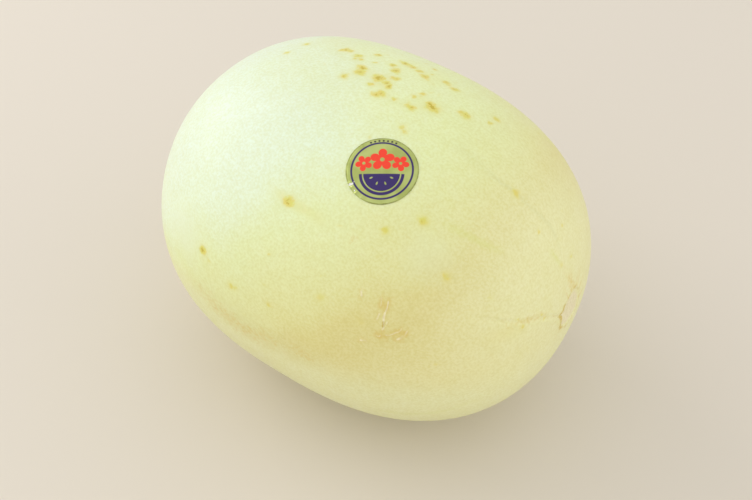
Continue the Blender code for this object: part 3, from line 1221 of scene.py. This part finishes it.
    def from_spot(self, points: np.ndarray, spot: Spot) -> np.ndarray:
        """Give each point's distance from a spot's middle."""
        return np.linalg.norm(points - self.form.at(spot.place / 1000, spot.bearing), axis=1)

    def from_rim(self, points: np.ndarray) -> np.ndarray:
        """Give each point's distance outside the blossom scar's uneven outline.

        Args:
            points: one row for each point on the smooth body.

        Returns:
            The distances: below 0 inside it, and endless at the stem end.
        """
        aside, up = self.off_scar(points)
        turn = np.degrees(np.arctan2(up, aside))
        outline = self.scar_radius * (1 + 0.025 * np.sin(np.radians(9 * turn)))
        for bearing, width, height in self.scar_waves:
            outline += height * bump((turn - bearing + 180) % 360 - 180, width)
        return np.where(points[:, 0] > 0, np.hypot(aside, up) - outline, np.inf)

    def off_scar(self, points: np.ndarray) -> tuple[np.ndarray, np.ndarray]:
        """Give how far each point is beside and above the blossom scar's middle."""
        aside = points[:, 1] - self.scar_aside
        return aside, (points[:, 2] - self.form.axis_height - self.scar_up) / self.scar_stretch

    def crack_lines(self) -> list[np.ndarray]:
        """Lay the corky cracks' routes on the body."""
        return [self.on_body(crack.route) for crack in self.cracks]

    def on_body(self, route: Route) -> np.ndarray:
        """Lay a route of places and bearings on the body as a smooth curve."""
        return curve_through(self.form.at(*np.array(route).T))

    def crease_line(self) -> np.ndarray:
        """Lay the crease's route on the body."""
        return curve_through(self.form.at_end(*np.array(self.crease).T))

    def all_spots(self) -> list[Spot]:
        """Give the russet spots, with the small ones strewn among the large.

        Returns:
            The listed spots, and then the strewn ones.
        """
        rng = np.random.default_rng(self.strewn_seed)
        strewn = []
        for _ in range(self.strewn):
            along, round_axis = rng.normal(self.strewn_middle, self.strewn_spread)
            width, strength = rng.uniform(1.1, 2.2), rng.uniform(0.12, 0.3)
            strewn.append(Spot(along, round_axis, width, strength))
        return [*self.spots, *strewn]

    def relief(self, points: np.ndarray) -> np.ndarray:
        """Say how far the skin stands out from the smooth body at each point of it.

        Args:
            points: one row for each point on the smooth body.

        Returns:
            One height for each point.
        """
        wander = self.wander_height * ripple(points, self.wander_length, 3.0)
        height = self.form.lobe(points)
        height += self.uneven_height * ripple(points, self.uneven_length, 7.0)
        height += self.blossom_relief(points, wander) + self.stem_relief(points)
        away, share = off_route(points, self.crease_line())
        fading = climb(share, 1.0, 0.55)
        height -= self.crease_depth * bump(away + wander, self.crease_width) * fading
        for crack, route in zip(self.cracks, self.crack_lines()):
            away, share = off_route(points, route)
            girth = crack.strength * (0.45 + 0.55 * np.sin(math.pi * share))
            ridge = bump(away + 0.4 * wander, self.crack_width * crack.width * 0.8)
            height += self.crack_height * ridge * girth
        opened = bump(off_route(points, self.on_body(self.shaded_slit))[0], self.slit_width)
        return height - 2 * self.crack_height * opened

    def blossom_relief(self, points: np.ndarray, wander: np.ndarray) -> np.ndarray:
        """Sink the blossom scar a little, inside a broken rim.

        Args:
            points: one row for each point on the smooth body.
            wander: noise that makes the edges uneven, one value for each point.

        Returns:
            One height for each point.
        """
        gap = self.from_rim(points)
        grit = self.grit_height * ripple(points, self.grit_length, 5.0) * climb(gap, 0.0, -0.0006)
        dish = -self.scar_depth * climb(gap + wander, 0.0004, -0.0005)
        rim = self.rim_height * bump(gap - 0.0006 + wander, self.rim_width)
        return dish + grit + rim * (0.65 + 0.35 * ripple(points, 0.004, 2.0))

    def stem_relief(self, points: np.ndarray) -> np.ndarray:
        """Shape the stem end's hollow, ring and pit.

        Args:
            points: one row for each point on the smooth body.

        Returns:
            One height for each point, 0 on the blossom half.
        """
        distance = self.from_axis(points)
        ring = self.stalk_height * bump(distance - self.stalk_radius, self.stalk_rim)
        ring *= 1 + 0.2 * ripple(points, 0.002, 9.0)
        hollow = self.hollow_depth * bump(distance, self.hollow_radius)
        pit = self.pit_depth * bump(distance, self.pit_radius)
        return np.where(points[:, 0] < 0, ring - hollow - pit, 0.0)

    def paint(self, skin: bpy.types.Object, points: np.ndarray) -> None:
        """Paint every marking onto the vertices, for the material to read.

        Args:
            skin: the melon's skin.
            points: its vertices on the smooth body.
        """
        wander = ripple(points, 0.0024, 4.0)
        painted = {
            Mask.RUSSET: self.russet_mask(points),
            Mask.STAIN_AND_SHADE: self.stain_and_shade_mask(points, wander),
            Mask.CORK: self.cork_mask(points),
            Mask.SCAR: self.scar_mask(points, wander),
            Mask.RIM_AND_SHADE: self.rim_and_shade_mask(points, wander),
            Mask.PALE_AND_SHEEN: self.dabbed(self.blooms_and_sheen, points, wander),
            Mask.VEIN: self.drawn(self.veins, points, wander),
            Mask.LINE: self.drawn(self.lines_and_shade, points, wander),
        }
        for mask, values in painted.items():
            layer = skin.data.attributes.new(mask.value, "FLOAT", "POINT")
            layer.data.foreach_set("value", values.astype(np.float32))

    def russet_mask(self, points: np.ndarray) -> np.ndarray:
        """Paint the russet spots, each with an uneven edge, and the haze that they share.

        Args:
            points: one row for each point on the smooth body.

        Returns:
            The mask's value for each point.
        """
        shift = np.zeros((len(points), 3))
        for amount, length, seeds in self.warps:
            shift += amount * np.stack([ripple(points, length, seed) for seed in seeds], axis=1)
        normals = self.form.normals(points)
        warped = points + shift - np.sum(shift * normals, axis=1)[:, None] * normals
        total, haze = np.zeros(len(points)), np.zeros(len(points))
        for spot in self.all_spots():
            distance, width = self.from_spot(warped, spot), spot.width / 1000
            shape = bump(distance, width * self.spot_spread) + bump(distance, width * self.core_spread)
            total = np.maximum(total, spot.strength * shape / 2)
            haze += spot.strength * bump(distance, width * self.halo_spread)
        hazes = self.drawn(self.hazes, points, ripple(points, 0.003, 13.0))
        return total + hazes + self.halo_strength * np.minimum(haze, self.halo_limit)

    def stain_and_shade_mask(self, points: np.ndarray, wander: np.ndarray) -> np.ndarray:
        """Paint the tan stain round the corky cracks, with the tan flush marks, the painted shade low on
        the near side and the end's streaks.

        Args:
            points: one row for each point on the smooth body.
            wander: noise that makes the edges uneven, one value for each point.

        Returns:
            The mask's value for each point.
        """
        total = np.zeros(len(points))
        for crack, route in zip(self.cracks, self.crack_lines()):
            away = off_route(points, route)[0] * (1 + 0.3 * wander)
            total = np.maximum(total, self.stain_strength * bump(away, self.stain_reach))
        total += self.dabbed(self.patches, points, wander)
        return np.max((total, self.streaks(points), self.drawn(self.flushes_and_shade, points, wander)), axis=0)

    def dabbed(
        self, dabs: tuple[Spot, ...], points: np.ndarray, wander: np.ndarray
    ) -> np.ndarray:
        """Paint soft round dabs, each as wide as its reach, that add up where they meet.

        Args:
            dabs: the dabs.
            points: the vertices on the smooth body.
            wander: noise between -1 and 1 that makes the edges uneven.

        Returns:
            The dabs' value for each point.
        """
        total = np.zeros(len(points))
        for dab in dabs:
            away = self.from_spot(points, dab) * (1 + 0.25 * wander)
            total += dab.strength * bump(away, dab.width / 1000)
        return total

    def drawn(
        self, streaks: tuple[Streak, ...], points: np.ndarray, wander: np.ndarray
    ) -> np.ndarray:
        """Paint soft streaks that fade out at both ends.

        Args:
            streaks: the streaks.
            points: the vertices on the smooth body.
            wander: noise between -1 and 1 that makes the edges uneven.

        Returns:
            The strongest streak's value for each point.
        """
        total = np.zeros(len(points))
        for streak in streaks:
            away, share = off_route(points, self.on_body(streak.route))
            fading = np.sqrt(np.clip(np.sin(math.pi * share), 0, 1))
            soft = bump(away * (1 + 0.3 * wander), streak.reach)
            total = np.maximum(total, streak.strength * soft * np.maximum(fading, 0.35))
        return total

    def streaks(self, points: np.ndarray) -> np.ndarray:
        """Paint faint tan streaks that run out from the blossom scar.

        Args:
            points: one row for each point on the smooth body.

        Returns:
            The streaks' value for each point.
        """
        gap = self.from_rim(points)
        aside, up = self.off_scar(points)
        turn = np.arctan2(up, aside)
        rays = np.stack((np.cos(turn), np.sin(turn), np.full(len(turn), 0.5)), axis=1)
        strength = np.clip(ripple(rays, 0.16, 6.0) + 0.1, 0, None)
        return np.where(gap > 0, strength * climb(gap, self.streak_reach, 0.0), 0.0)

    def cork_mask(self, points: np.ndarray) -> np.ndarray:
        """Paint the corky cracks and the stalk's scar.

        Args:
            points: one row for each point on the smooth body.

        Returns:
            The mask's value for each point.
        """
        distance = self.from_axis(points)
        stalk = climb(distance, self.stalk_radius + self.stalk_rim, self.stalk_radius)
        total = np.where(points[:, 0] < 0, stalk, 0.0)
        broken = 1 + 0.5 * ripple(points, 0.0013, 15.0)
        for crack, route in zip(self.cracks, self.crack_lines()):
            away, share = off_route(points, route)
            girth = crack.strength * broken * climb(np.sin(math.pi * share), -0.2, 0.5)
            total = np.maximum(total, bump(away, self.crack_width * crack.width) * girth)
        return total

    def scar_mask(self, points: np.ndarray, wander: np.ndarray) -> np.ndarray:
        """Paint the blossom scar, with a crisp edge on its near side and a soft one beyond.

        Args:
            points: one row for each point on the smooth body.
            wander: noise that makes the edges uneven, one value for each point.

        Returns:
            The mask's value for each point.
        """
        gap = self.from_rim(points) + self.edge_wander * wander
        edge = self.edge_width + self.edge_blur * (1 - self.nearness(points, -0.3))
        return np.clip(-gap / edge, 0, 1)

    def nearness(self, points: np.ndarray, start: float) -> np.ndarray:
        """Say how far each point is on the near side of the blossom scar, from 0 to 1."""
        aside, up = self.off_scar(points)
        return climb(np.cos(np.arctan2(up, aside) - math.radians(self.near_bearing)), start, 0.95)

    def rim_and_shade_mask(self, points: np.ndarray, wander: np.ndarray) -> np.ndarray:
        """Paint the brown rim of the blossom scar, strongest on its near side, the crease, the slit's
        painted shade and the stalk's dark line.

        Args:
            points: one row for each point on the smooth body.
            wander: noise that makes the edges uneven, one value for each point.

        Returns:
            The mask's value for each point.
        """
        gap = self.from_rim(points)
        near = self.nearness(points, 0.5)
        reach = self.rim_reach + self.near_rim_reach * near
        rim = bump(gap - self.rim_place + self.edge_wander * wander, reach)
        rim *= (0.45 + 0.45 * near) * (0.85 + 0.4 * wander)
        away, share = off_route(points, self.crease_line())
        line = self.crease_tint * bump(away, self.crease_reach) * climb(share, 0.5, 0.0)
        # Painted shade: the opened slit is painted dark brown
        shaded_slit = bump(off_route(points, self.on_body(self.shaded_slit))[0], self.slit_width)
        distance = self.from_axis(points)
        off_ring = distance - self.stalk_radius - self.stalk_rim
        stalk = self.stalk_tint * bump(off_ring, self.stalk_line)
        stalk = np.where(points[:, 0] < 0, stalk, 0.0)
        return np.max((rim, line, shaded_slit, stalk), axis=0)


@dataclass(frozen=True)
class FoilFinish:
    """The printed foil: gold-green metal under a generic print of blossoms and a melon slice.

    The print is laid out in label radii, with its middle at 0, 0 and its top towards +Y.
    """

    grain: bpy.types.NodeTree
    foil: Colour = srgb(198, 208, 128)
    foil_shade: Colour = srgb(174, 184, 102)
    foil_rim: Colour = srgb(136, 138, 70)
    red: Colour = srgb(244, 60, 30)
    purple: Colour = srgb(46, 24, 96)
    dark: Colour = srgb(48, 44, 42)
    # The white of the paper edge, also used for the painted glints
    paper: Colour = srgb(246, 244, 236)
    ring_radius: float = 0.84
    ring_width: float = 0.055
    blossoms: tuple[tuple[float, float, float, float], ...] = (
        (0.0, 0.31, 0.34, 0.0), (-0.50, 0.20, 0.24, 0.5), (0.50, 0.20, 0.24, -0.5),
    )
    slice_top: float = -0.12
    slice_radius: float = 0.62
    rind_gap: tuple[float, float] = (0.50, 0.535)
    seed_ring: float = 0.30
    seeds: int = 4
    # Painted glints, white flecks at the creased rim where the foil catches the light: right, up, half
    # length, half width, turn
    glint_flecks: tuple[tuple[float, float, float, float, float], ...] = (
        (-0.84, -0.41, 0.085, 0.038, 0.55), (-0.73, -0.59, 0.034, 0.016, 0.9),
    )
    dots: int = 7
    dot_ring: float = 0.912
    dot_radius: float = 0.03
    dot_step: float = 0.13
    seed_radius: float = 0.022
    embossed: float = 0.955
    metal: float = 0.85
    foil_roughness: float = 0.34
    ink_roughness: float = 0.5
    paper_roughness: float = 0.7
    relief_height: float = 0.00004

    def dress(self, piece: bpy.types.Object) -> None:
        """Give the piece the printed foil and, for its cut edge, white paper.

        Args:
            piece: the sticker's disc.
        """
        surface = Surface("printed_foil", self.grain)
        right, up, reach = self.print_axes(surface)
        red = self.blossom_ink(surface, right, up)
        purple = self.purple_ink(surface, right, up, reach)
        dark = self.dot_ink(surface, right, up, reach)
        # Painted highlights: white glints on the creased rim
        painted_glints = self.painted_glints(surface, right, up)
        colour = surface.tint(surface.noise(0.006), self.foil, self.foil_shade)
        rim = surface.times(surface.spread(reach, self.embossed, 0.99), surface.noise(0.004, low=0.2))
        for share, tone in (
            (rim, self.foil_rim), (dark, self.dark), (purple, self.purple), (red, self.red),
            (painted_glints, self.paper),
        ):
            colour = surface.tint(share, colour, tone)
        inked = surface.fold("MAXIMUM", [red, purple, dark, painted_glints])
        rough = surface.spread(inked, 0.0, 1.0, self.foil_roughness, self.ink_roughness)
        surface.feed(surface.shader.inputs["Base Color"], colour)
        surface.feed(
            surface.shader.inputs["Metallic"], surface.spread(inked, 0.0, 1.0, self.metal, 0.0)
        )
        surface.feed(surface.shader.inputs["Roughness"], rough)
        self.emboss(surface, reach)
        edge, _ = new_material(
            "label_paper_edge", {"Base Color": self.paper, "Roughness": self.paper_roughness}
        )
        for made in (surface.material, edge):
            piece.data.materials.append(made)

    def print_axes(self, surface: Surface) -> tuple[Socket, Socket, Socket]:
        """Read where a place lies on the print, off the label's own map.

        Args:
            surface: the material's bench.

        Returns:
            How far right it is, how far up, and its distance from the middle.
        """
        node = surface.add("ShaderNodeSeparateXYZ")
        surface.feed(node.inputs[0], surface.add("ShaderNodeTexCoord").outputs["UV"])
        right, up = (
            surface.math("MULTIPLY_ADD", node.outputs[side], 2.0, -1.0) for side in (0, 1)
        )
        return right, up, self.length(surface, right, up)

    def length(self, surface: Surface, right: Socket, up: Socket) -> Socket:
        """Give the distance of a place on the print from its middle."""
        squares = [surface.math("POWER", side, 2.0) for side in (right, up)]
        return surface.math("SQRT", surface.fold("ADD", squares))

    def within(self, surface: Surface, value: Socket, limit: object, soft: float = 0.012) -> Socket:
        """Give 1 where a value is under a limit, with a crisp but smooth edge."""
        return surface.spread(surface.math("SUBTRACT", value, limit), soft, -soft)

    def blossom_ink(self, surface: Surface, right: Socket, up: Socket) -> Socket:
        """Print the red five-petalled blossoms.

        Args:
            surface: the material's bench.
            right: the print's coordinate to the right.
            up: the print's coordinate upwards.

        Returns:
            1 where there is red ink.
        """
        inks = []
        for middle_right, middle_up, size, turn in self.blossoms:
            across = surface.math("DIVIDE", surface.math("SUBTRACT", right, middle_right), size)
            above = surface.math("DIVIDE", surface.math("SUBTRACT", up, middle_up), size)
            away = self.length(surface, across, above)
            angle = surface.math("ADD", surface.math("ARCTAN2", across, above), turn)
            wave = surface.math("ABSOLUTE", surface.math("COSINE", surface.times(angle, 2.5)))
            petal = surface.math("MULTIPLY_ADD", surface.math("POWER", wave, 0.6), 0.55, 0.45)
            ink = self.within(surface, away, petal, 0.04)
            inks.append(surface.times(ink, surface.spread(away, 0.14, 0.22)))
        return surface.fold("MAXIMUM", inks)

    def purple_ink(self, surface: Surface, right: Socket, up: Socket, reach: Socket) -> Socket:
        """Print the ring and the slice of melon, with its pale line of rind and its seeds.

        Args:
            surface: the material's bench.
            right: the print's coordinate to the right.
            up: the print's coordinate upwards.
            reach: the distance from the print's middle.

        Returns:
            1 where there is purple ink.
        """
        off_ring = surface.math("ABSOLUTE", surface.math("SUBTRACT", reach, self.ring_radius))
        ring = self.within(surface, off_ring, self.ring_width / 2)
        drop = surface.math("SUBTRACT", up, self.slice_top)
        away = self.length(surface, right, drop)
        whole = surface.times(
            self.within(surface, away, self.slice_radius), self.within(surface, drop, 0.0)
        )
        low, high = self.rind_gap
        line = surface.times(
            self.within(surface, away, high), surface.math("GREATER_THAN", away, low)
        )
        angle = surface.math("ARCTAN2", right, surface.times(drop, -1.0))
        step = math.pi / self.seeds
        turned = surface.math("MODULO", surface.math("ADD", angle, math.pi), step)
        beside = surface.times(surface.math("SUBTRACT", turned, step / 2), self.seed_ring)
        beyond = surface.times(surface.math("SUBTRACT", away, self.seed_ring), 0.5)
        seed = self.within(surface, self.length(surface, beside, beyond), self.seed_radius)
        bare = surface.math("MAXIMUM", line, seed)
        printed = surface.times(whole, surface.math("SUBTRACT", 1.0, bare))
        return surface.math("MAXIMUM", ring, printed)

    def dot_ink(self, surface: Surface, right: Socket, up: Socket, reach: Socket) -> Socket:
        """Print the short row of small dark dots above the ring.

        Args:
            surface: the material's bench.
            right: the print's coordinate to the right.
            up: the print's coordinate upwards.
            reach: the distance from the print's middle.

        Returns:
            1 where there is dark ink.
        """
        angle = surface.math("ARCTAN2", right, up)
        half_row = self.dot_step * self.dots / 2
        turned = surface.math("MODULO", surface.math("ADD", angle, half_row), self.dot_step)
        inside = surface.math("LESS_THAN", surface.math("ABSOLUTE", angle), half_row)
        beside = surface.times(surface.math("SUBTRACT", turned, self.dot_step / 2), self.dot_ring)
        beyond = surface.math("SUBTRACT", reach, self.dot_ring)
        dot = self.within(surface, self.length(surface, beside, beyond), self.dot_radius)
        return surface.times(dot, inside)

    def painted_glints(self, surface: Surface, right: Socket, up: Socket) -> Socket:
        """Say where white glints are painted on the creased rim of the foil.

        Args:
            surface: the material's bench.
            right: the print's coordinate to the right.
            up: the print's coordinate upwards.

        Returns:
            1 where a painted glint shows.
        """
        ragged = surface.noise(0.0005, 3.0, 0.6, 1.5)
        glint_flecks = []
        for middle_right, middle_up, length, width, turn in self.glint_flecks:
            across = surface.math("SUBTRACT", right, middle_right)
            above = surface.math("SUBTRACT", up, middle_up)
            cosine, sine = math.cos(turn), math.sin(turn)
            along, beside = (
                surface.math("MULTIPLY_ADD", across, share, surface.times(above, other))
                for share, other in (
                    (cosine / length, sine / length), (-sine / width, cosine / width)
                )
            )
            away = surface.times(self.length(surface, along, beside), ragged)
            glint_flecks.append(surface.spread(away, 1.1, 0.8))
        return surface.fold("MAXIMUM", glint_flecks)

    def emboss(self, surface: Surface, reach: Socket) -> None:
        """Press a shallow line inside the rim and crinkle the foil a little.

        Args:
            surface: the material's bench.
            reach: the distance from the print's middle.
        """
        off_line = surface.math("ABSOLUTE", surface.math("SUBTRACT", reach, self.embossed))
        line = self.within(surface, off_line, 0.012, 0.01)
        crinkle = surface.noise(0.0018, 3.0, high=0.6)
        surface.bend(surface.math("SUBTRACT", crinkle, line), 0.6, self.relief_height)


@dataclass(frozen=True)
class Sticker:
    """The round foil sticker, pressed onto the curve of the melon."""

    melon: Melon
    finish: FoilFinish
    diameter: float = 0.0240
    place: float = 0.0198
    bearing: float = 21.9
    turn: float = 120.0
    lift: float = 0.00004
    thickness: float = 0.00012
    sides: int = 240
    rings: int = 16
    # Creases in the rim, where the flat foil can't follow a round fruit: bearing on the print, height
    folds: tuple[tuple[float, float], ...] = (
        (203, 0.00030), (212, 0.00045), (224, 0.00035), (236, 0.00020), (168, 0.00020),
        (128, 0.00016), (74, 0.00018), (21, 0.00016), (318, 0.00020), (275, 0.00014),
    )
    fold_width: float = 2.4
    fold_start: float = 0.80

    def build(self) -> bpy.types.Object:
        """Cut the disc, press it onto the rind, thicken it and hang it on the frame.

        Returns:
            The finished piece.
        """
        disc = self.cut_disc()
        flat = read_points(disc)[:, :2]
        self.map_print(disc, flat)
        write_points(disc, self.press(flat))
        apply_modifier(
            disc, "SOLIDIFY", thickness=self.thickness, offset=1.0, material_offset_rim=1
        )
        apply_modifier(
            disc, "BEVEL", width=self.thickness / 4, segments=2, limit_method="ANGLE",
            angle_limit=math.radians(60),
        )
        take_up(disc)
        bpy.ops.object.shade_smooth_by_angle(angle=math.radians(50))
        self.finish.dress(disc)
        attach(disc, "root")
        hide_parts("fruit_label")
        LOG.info("foil_sticker: %d faces", len(disc.data.polygons))
        return disc

    def cut_disc(self) -> bpy.types.Object:
        """Add a round face and inset it again and again, so that it can bend.

        Returns:
            The flat disc.
        """
        bpy.ops.object.select_all(action="DESELECT")
        radius = self.diameter / 2
        bpy.ops.mesh.primitive_circle_add(vertices=self.sides, radius=radius, fill_type="NGON")
        disc = name_new("foil_sticker")
        bpy.ops.object.mode_set(mode="EDIT")
        bpy.ops.mesh.select_all(action="SELECT")
        for _ in range(self.rings - 1):
            bpy.ops.mesh.inset(thickness=radius / self.rings)
        bpy.ops.mesh.poke()
        bpy.ops.object.mode_set(mode="OBJECT")
        return disc

    def map_print(self, disc: bpy.types.Object, flat: np.ndarray) -> None:
        """Map the flat disc, before it is bent, so that the print follows it.

        Args:
            disc: the disc.
            flat: for each vertex, how far right and up it is on the print.
        """
        layer = disc.data.uv_layers.new(name="print")
        corners = np.empty(len(disc.data.loops), int)
        disc.data.loops.foreach_get("vertex_index", corners)
        layer.data.foreach_set("uv", (flat[corners] / self.diameter + 0.5).ravel())

    def press(self, flat: np.ndarray) -> np.ndarray:
        """Lay flat places of the disc on the rind.

        Args:
            flat: for each vertex, how far right and up it is on the print.

        Returns:
            Where each vertex comes to lie.
        """
        form = self.melon.form
        centre = form.at(self.place, self.bearing)[None]
        normal = form.normals(centre)[0]
        along = np.cross(np.cross(normal, (1.0, 0.0, 0.0)), normal)
        along /= np.linalg.norm(along)
        across = np.cross(normal, along)
        turn = math.radians(self.turn)
        up = along * math.cos(turn) + across * math.sin(turn)
        right = np.cross(up, normal)
        spread = centre + flat[:, :1] * right + flat[:, 1:] * up
        bearings = np.degrees(np.arctan2(-spread[:, 1], spread[:, 2] - form.axis_height))
        base = form.at(spread[:, 0], bearings)
        lift = self.lift + self.creases(flat)
        return base + form.normals(base) * (self.melon.relief(base) + lift)[:, None]

    def creases(self, flat: np.ndarray) -> np.ndarray:
        """Lift the narrow creases in the rim.

        Args:
            flat: for each vertex, how far right and up it is on the print.

        Returns:
            How far each vertex is lifted.
        """
        out = np.hypot(flat[:, 0], flat[:, 1]) / (self.diameter / 2)
        turn = np.degrees(np.arctan2(flat[:, 1], flat[:, 0]))
        lift = np.zeros(len(flat))
        for bearing, height in self.folds:
            off = np.abs((turn - bearing + 180) % 360 - 180)
            lift += height * bump(off, self.fold_width)
        return lift * climb(out, self.fold_start, 1.0)


def main() -> None:
    """Build the studio, the melon and its sticker, in that order."""
    logging.basicConfig(level=logging.INFO, format="%(name)s: %(message)s")
    Studio().build()
    grain = grain_group()
    melon = Melon(form=Form(), finish=RindFinish(grain=grain, flecks=fleck_group()))
    melon.build()
    Sticker(melon=melon, finish=FoilFinish(grain=grain)).build()


if __name__ == "__main__":
    main()
